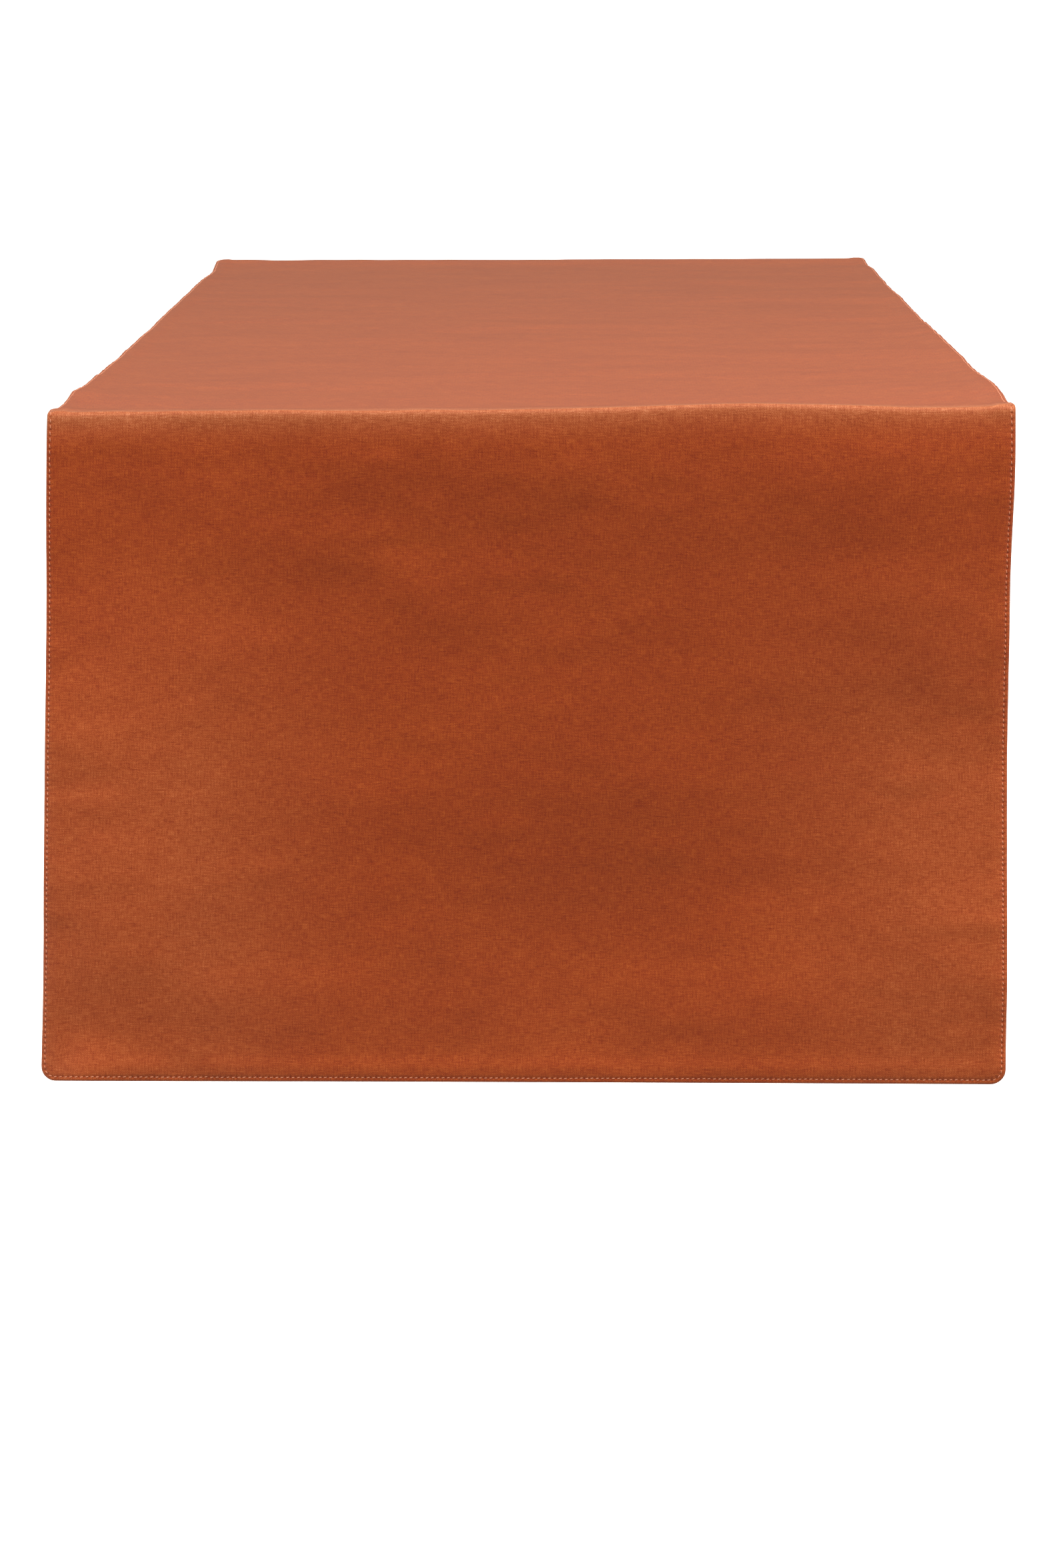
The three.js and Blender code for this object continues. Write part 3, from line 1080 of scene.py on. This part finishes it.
def satin_ribbon(name, colour):
    """Woven satin ribbon: fine ribs along its length, a close selvedge and a soft gloss."""
    material, tree, shader = new_material(name, {"Sheen Weight": 0.15})
    ribbon = surface_map(tree, "ribbon")
    ribs = noise(tree, ribbon, (0.22, 6), 1.5)
    picks = noise(tree, ribbon, (3, 0.3), 1.5)
    age = noise(tree, ribbon, 9, 2.0)
    base = toned_colour(
        tree, colour, spread(tree, ribs, NOISE_LOW, NOISE_HIGH, 0.93, 1.05),
        spread(tree, picks, NOISE_LOW, NOISE_HIGH, 0.95, 1.04),
        spread(tree, age, 0.3, 0.7, 0.95, 1.03),
    )
    roughness = spread(tree, ribs, 0.2, 0.8, 0.34, 0.5)
    finish_surface(tree, shader, base, roughness, ((ribs, 0.02), (picks, 0.03)))
    return material


def pale_floor(name):
    """A plain matt floor, off-white with a faint grain, and clear from below."""
    material, tree, shader = new_material(name, {
        "Roughness": 0.9, "Specular IOR Level": 0.1, "Emission Color": (1, 1, 1, 1),
        "Emission Strength": 0.45,
    })
    tone = spread(tree, noise(tree, object_place(tree), 50, 3.0), 0.2, 0.8, 0.91, 0.94)
    base = add_node(tree, "ShaderNodeCombineColor", {"Red": tone, "Green": tone, "Blue": tone})
    tree.links.new(base.outputs[0], shader.inputs["Base Color"])
    below = add_node(tree, "ShaderNodeNewGeometry").outputs["Backfacing"]
    clear = add_node(tree, "ShaderNodeBsdfTransparent").outputs[0]
    one_sided = add_node(tree, "ShaderNodeMixShader", {0: below, 1: shader.outputs[0], 2: clear})
    tree.links.new(one_sided.outputs[0], tree.nodes["Material Output"].inputs["Surface"])
    return material


# ---------------------------------------------------------------- the stage

FLOOR_SIDES, FLOOR_RINGS = 96, 12

# The soft lamps, which stand in for the bounced light of a white room: name, place, target,
# width in metres, and the setting that holds the power.
LAMPS = (
    ("lamp_over_table", (0.5, -0.75, 1.3), (0.5, -0.75, 0), 0.8, "over_power"),
    ("lamp_left", (-0.62, -0.82, -0.18), (-0.124, -0.6, -0.18), 0.35, "side_power"),
    ("lamp_right", (0.62, -0.82, -0.18), (0.124, -0.6, -0.18), 0.35, "side_power"),
    ("lamp_behind", (0, 1.7, -0.32), (0, 0.6, -0.2), 0.5, "back_power"),
    ("lamp_on_floor", (0, -0.85, -0.72), (0, -0.8, 0), 0.6, "bounce_power"),
    ("lamp_below", (0, 0, -0.7), (0, 0, 0), 1.0, "low_power"),
)


def make_floor(stage):
    """A round floor, as rings about its middle whose radii grow as a square.

    It throws no light back onto the runner.
    """
    rings = stage.floor_radius * np.linspace(0, 1, FLOOR_RINGS + 1)[1:] ** 2
    angle = np.arange(FLOOR_SIDES) * 2 * math.pi / FLOOR_SIDES
    x, y = rings[:, None] * np.cos(angle), rings[:, None] * np.sin(angle)
    points = np.stack([x, y, np.full_like(x, -stage.floor_depth)], axis=-1).reshape(-1, 3)
    points = np.concatenate([points, [[0, 0, -stage.floor_depth]]])
    ids = np.arange(x.size).reshape(x.shape)
    turned = np.roll(ids, -1, axis=1)
    quads = np.stack([ids[:-1], ids[1:], turned[1:], turned[:-1]], axis=-1).reshape(-1, 4)
    middle = np.stack([ids[0], turned[0], np.full(FLOOR_SIDES, x.size)], axis=-1)
    floor = make_object("floor", points, [quads, middle], {}, pale_floor("pale_floor"), False)
    floor.visible_diffuse = False


def add_light(scene, name, kind, place, target, strength):
    """A light at a place, turned to a target. The camera doesn't see the lamp itself."""
    light = bpy.data.lights.new(name, kind)
    light.energy = strength
    obj = bpy.data.objects.new(name, light)
    obj.location = place
    obj.rotation_euler = (Vector(target) - Vector(place)).to_track_quat("-Z", "Y").to_euler()
    obj.visible_camera = False
    scene.collection.objects.link(obj)
    return light


def make_lights(scene, stage):
    """Dim even light from a room that the camera sees as white, a wide window and soft lamps."""
    world = bpy.data.worlds.new("white_room")
    world.use_nodes = True
    tree = world.node_tree
    background = tree.nodes["Background"]
    background.inputs["Color"].default_value = (1, 1, 1, 1)
    seen = add_node(tree, "ShaderNodeLightPath").outputs["Is Camera Ray"]
    strength = spread(tree, seen, 0, 1, stage.room_light, 1.0)
    tree.links.new(strength, background.inputs["Strength"])
    scene.world = world
    place = (0, -math.cos(stage.window_height), math.sin(stage.window_height))
    window = add_light(scene, "window", "SUN", place, (0, 0, 0), stage.window_light)
    window.angle = stage.window_spread
    for name, place, target, size, setting in LAMPS:
        lamp = add_light(scene, name, "AREA", place, target, getattr(stage, setting))
        lamp.shape, lamp.size = "DISK", size


def make_camera(scene, stage):
    """A camera in front of the table, a little above the tabletop, with depth of field off."""
    data = bpy.data.cameras.new("camera")
    data.lens, data.sensor_width, data.sensor_fit = stage.lens, 36, "AUTO"
    data.shift_y = -stage.shift_down
    data.dof.use_dof = False
    data.clip_end = 500
    camera = bpy.data.objects.new("camera", data)
    turn = Matrix.Rotation(-stage.turn, 4, "Z")
    tilt = Matrix.Rotation(math.pi / 2 - stage.tilt, 4, "X")
    roll = Matrix.Rotation(stage.roll, 4, "Z")
    camera.matrix_world = Matrix.Translation(stage.camera_place) @ turn @ tilt @ roll
    scene.collection.objects.link(camera)
    scene.camera = camera


# ---------------------------------------------------------------- operators

# Added to the seed, so that each row of stitches has its own random draws.
SEAM_DRAW, EDGE_DRAW = 30, 20


def place_piece(piece, node):
    """Ties a piece to the body, and hides the solid that it stands for."""
    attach(piece, BODY)
    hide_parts(node)


def thread_material(settings):
    """The one thread that every seam is sewn with."""
    made = bpy.data.materials.get("spun_thread")
    return made or spun_thread("spun_thread", settings.stitch.colour)


class RUNNER_OT_turning_seam(bpy.types.Operator):
    """Sew the hidden seam that joins the panels, close to the edge"""

    bl_idname = "runner.turning_seam"
    bl_label = "Turning seam"

    def execute(self, context):
        settings = context.scene.runner
        line = thread_line("face", SEAM_INSET, SEAM_HEIGHT, settings)
        piece = make_stitches(
            "turning_seam_stitches", line, settings.stitch, thread_material(settings),
            settings.seed + SEAM_DRAW, settings.stitch.seam_thickness,
        )
        place_piece(piece, "turning_seam_thread")
        return {"FINISHED"}


class RUNNER_OT_edge_stitches(bpy.types.Operator):
    """Sew the edge stitching: needle thread on the face, bobbin thread on the backing"""

    bl_idname = "runner.edge_stitches"
    bl_label = "Edge stitching"

    def execute(self, context):
        settings = context.scene.runner
        stitch, label = settings.stitch, settings.label
        low, high = label_span(side_view(settings.drape))

        def over_label(flat):
            caught = (flat[:, 0] > 0) & (flat[:, 1] > low) & (flat[:, 1] < high)
            return np.where(caught, BACKING_GROOVE + label_stack(label), 0.0)

        rows = (
            ("needle", "face", FACE_GROOVE, None),
            ("bobbin", "backing", BACKING_GROOVE, over_label),
        )
        for number, (thread, side, height, lift) in enumerate(rows):
            line = thread_line(side, STITCH_INSET, height, settings)
            piece = make_stitches(
                f"edge_stitches_{thread}", line, stitch, thread_material(settings),
                settings.seed + EDGE_DRAW + number, stitch.thickness, stitch.slant, lift,
            )
            place_piece(piece, f"edge_stitch_{thread}_thread")
        return {"FINISHED"}


class RUNNER_OT_care_label(bpy.types.Operator):
    """Make the blank folded ribbon that is caught in the edge stitching"""

    bl_idname = "runner.care_label"
    bl_label = "Care label"

    def execute(self, context):
        settings = context.scene.runner
        ribbon = satin_ribbon("satin_ribbon", settings.label.colour)
        piece, flat = make_label("care_label_ribbon", ribbon, settings)
        place_piece(piece, "care_label")
        return {"FINISHED"}


class RUNNER_OT_backing_cloth(bpy.types.Operator):
    """Make the lining panel with its turned-in border"""

    bl_idname = "runner.backing_cloth"
    bl_label = "Backing cloth"

    def execute(self, context):
        settings = context.scene.runner
        cloth = settings.cloth
        linen = washed_linen("washed_linen_backing", cloth.backing_colour, settings)
        piece, flat = make_panel("backing", "backing_panel", linen, settings)
        place_piece(piece, "backing_cloth")
        return {"FINISHED"}


class RUNNER_OT_face_cloth(bpy.types.Operator):
    """Make the face panel with its turned-in border"""

    bl_idname = "runner.face_cloth"
    bl_label = "Face cloth"

    def execute(self, context):
        settings = context.scene.runner
        cloth = settings.cloth
        linen = washed_linen("washed_linen_face", cloth.face_colour, settings)
        piece, flat = make_panel("face", "face_panel", linen, settings)
        place_piece(piece, "face_cloth")
        return {"FINISHED"}


class RUNNER_OT_stage(bpy.types.Operator):
    """Set up the floor, the soft lights and the camera"""

    bl_idname = "runner.stage"
    bl_label = "Stage"

    def execute(self, context):
        stage = context.scene.runner.stage
        make_floor(stage)
        make_lights(context.scene, stage)
        make_camera(context.scene, stage)
        context.scene.view_settings.view_transform = "Standard"
        return {"FINISHED"}


STEPS = (
    RUNNER_OT_stage,
    RUNNER_OT_turning_seam,
    RUNNER_OT_edge_stitches,
    RUNNER_OT_care_label,
    RUNNER_OT_backing_cloth,
    RUNNER_OT_face_cloth,
)


class RUNNER_PT_sidebar(bpy.types.Panel):
    """Settings and steps of the table runner"""

    bl_idname = "RUNNER_PT_sidebar"
    bl_label = "Table Runner"
    bl_space_type = "VIEW_3D"
    bl_region_type = "UI"
    bl_category = "Runner"

    def draw(self, context):
        settings = context.scene.runner
        for title in ("cloth", "drape", "stitch", "label", "stage"):
            group = getattr(settings, title)
            box = self.layout.box()
            box.label(text=title.capitalize())
            for name in group.__annotations__:
                box.prop(group, name)
        self.layout.prop(settings, "seed")
        for step in STEPS:
            self.layout.operator(step.bl_idname)


CLASSES = (
    ClothSettings, DrapeSettings, StitchSettings, LabelSettings, StageSettings, RunnerSettings,
    *STEPS, RUNNER_PT_sidebar,
)


def register():
    for item in CLASSES:
        bpy.utils.register_class(item)
    bpy.types.Scene.runner = PointerProperty(type=RunnerSettings)


def unregister():
    del bpy.types.Scene.runner
    for item in reversed(CLASSES):
        bpy.utils.unregister_class(item)


def main():
    register()
    for step in STEPS:
        group, name = step.bl_idname.split(".")
        getattr(getattr(bpy.ops, group), name)()


if __name__ == "__main__":
    main()
